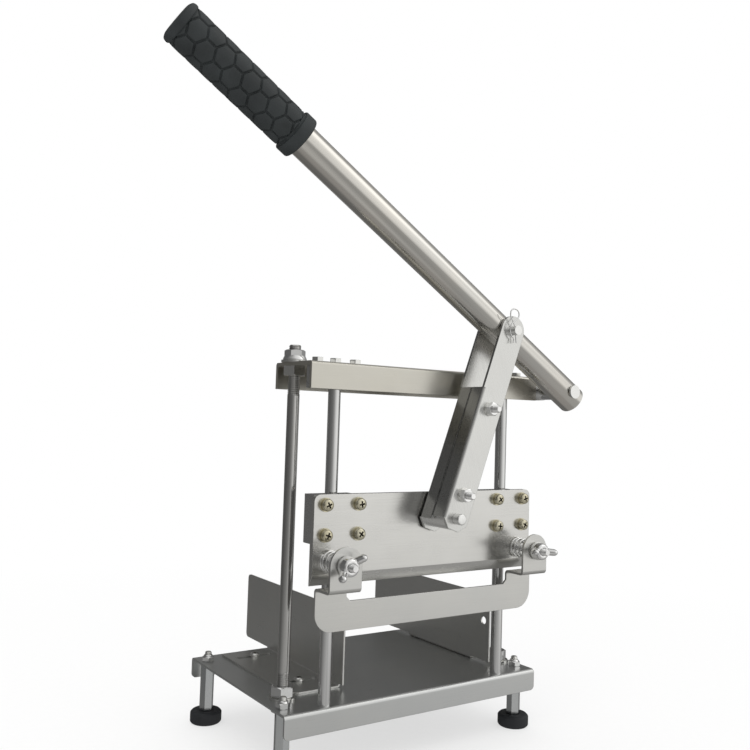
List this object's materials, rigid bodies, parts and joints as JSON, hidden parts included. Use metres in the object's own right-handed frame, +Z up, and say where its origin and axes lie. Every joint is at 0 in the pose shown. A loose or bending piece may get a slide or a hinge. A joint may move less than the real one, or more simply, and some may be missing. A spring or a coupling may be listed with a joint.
{
  "type": "frozen meat slicer",
  "caption": "Hand-lever guillotine slicer for frozen meat: lever and link press a blade plate down two guide rods over a footed base tray with fences and a sprung slice gauge",
  "frame": {"origin": "centre of the base tray's top face, on which the food lies", "axes": "+Z up, -Y towards the blade side (front), +X right, lever pivot at the right end"},
  "size_m": [0.4059, 0.2672, 0.5575],
  "materials": {
    "stainless_sheet": "brushed",
    "blade_steel": "ground",
    "machined_steel": "machined",
    "polished_steel": "polished",
    "polished_tube": "polished",
    "zinc_fasteners": "zinc plated",
    "spring_steel": "drawn wire",
    "bush_brass": "turned",
    "foot_rubber": "moulded",
    "grip_rubber": "moulded, hexagon pads"
  },
  "bodies": {
    "frame": {"base_tray": "stainless_sheet", "foot_studs": "zinc_fasteners", "foot_nuts": "zinc_fasteners", "foot_spacers": "machined_steel", "rubber_feet": "foot_rubber", "guide_rod_left": "polished_steel", "guide_rod_right": "polished_steel", "rod_screws_top": "zinc_fasteners", "rod_screws_bottom": "zinc_fasteners", "column_left": "polished_steel", "column_right": "polished_steel", "column_nuts_top": "zinc_fasteners", "column_nuts_under_beam": "zinc_fasteners", "column_nuts_base": "zinc_fasteners", "column_nuts_bottom": "zinc_fasteners", "column_washers": "zinc_fasteners", "top_beam": "stainless_sheet", "rod_block_left": "machined_steel", "lever_bracket": "machined_steel", "beam_screws": "zinc_fasteners", "lever_pivot_pin": "polished_steel", "pivot_spacer": "polished_steel", "fence_right": "stainless_sheet", "fence_screws": "zinc_fasteners", "fence_nuts": "zinc_fasteners"},
    "lever": {"lever_tube": "polished_tube", "lever_grip": "grip_rubber"},
    "link": {"link_front_plate": "stainless_sheet", "link_rear_plate": "stainless_sheet", "link_spacers": "zinc_fasteners", "link_bolts": "zinc_fasteners", "link_nuts": "zinc_fasteners", "link_washers": "zinc_fasteners", "link_top_pin": "polished_steel", "retaining_clip": "polished_steel", "link_foot_pin": "polished_steel", "foot_pin_sleeve": "polished_steel"},
    "carriage": {"blade_plate": "blade_steel", "slider_block_left": "machined_steel", "slider_block_right": "machined_steel", "slider_bush_left": "bush_brass", "slider_bush_right": "bush_brass", "carriage_screws": "zinc_fasteners", "carriage_washers": "zinc_fasteners", "carriage_spring_washers": "zinc_fasteners", "gauge_stud_left": "zinc_fasteners", "gauge_stud_right": "zinc_fasteners", "spring_left": "spring_steel", "spring_right": "spring_steel"},
    "gauge": {"gauge_plate": "stainless_sheet", "gauge_washers": "zinc_fasteners", "gauge_inner_washers": "zinc_fasteners"},
    "wing_nut_left": {"wing_nut_left": "zinc_fasteners"},
    "wing_nut_right": {"wing_nut_right": "zinc_fasteners"},
    "fence_left": {"fence_left": "stainless_sheet"}
  },
  "joints": [
    {"name": "lever_swing", "type": "hinge", "parent": "frame", "child": "lever", "pos_m": [0.1355, -0.113, 0.2542], "axis": [0, -1, 0], "range_deg": [0, 60]},
    {"name": "link_swing", "type": "hinge", "parent": "lever", "child": "link", "pos_m": [0.05731, -0.113, 0.30268], "axis": [0, 1, 0], "range_deg": [0, 54.9]},
    {"name": "carriage_slide", "type": "slide", "parent": "frame", "child": "carriage", "axis": [0, 0, -1], "range_m": [0, 0.09635]},
    {"name": "gauge_slide", "type": "slide", "parent": "carriage", "child": "gauge", "axis": [0, 1, 0], "range_m": [-0.004, 0.005], "deforming": ["spring_left", "spring_right"]},
    {"name": "wing_nut_left_spin", "type": "hinge", "parent": "gauge", "child": "wing_nut_left", "pos_m": [-0.0985, -0.125, 0.1135], "axis": [0, -1, 0], "continuous": true},
    {"name": "wing_nut_right_spin", "type": "hinge", "parent": "gauge", "child": "wing_nut_right", "pos_m": [0.0985, -0.125, 0.1135], "axis": [0, -1, 0], "continuous": true},
    {"name": "fence_left_slide", "type": "slide", "parent": "frame", "child": "fence_left", "axis": [1, 0, 0], "range_m": [0, 0.015]}
  ],
  "couplings": [
    {"joint": "link_swing", "follows": "lever_swing", "ratio": 0.915},
    {"joint": "carriage_slide", "follows": "lever_swing", "m_per_rad": 0.092}
  ]
}
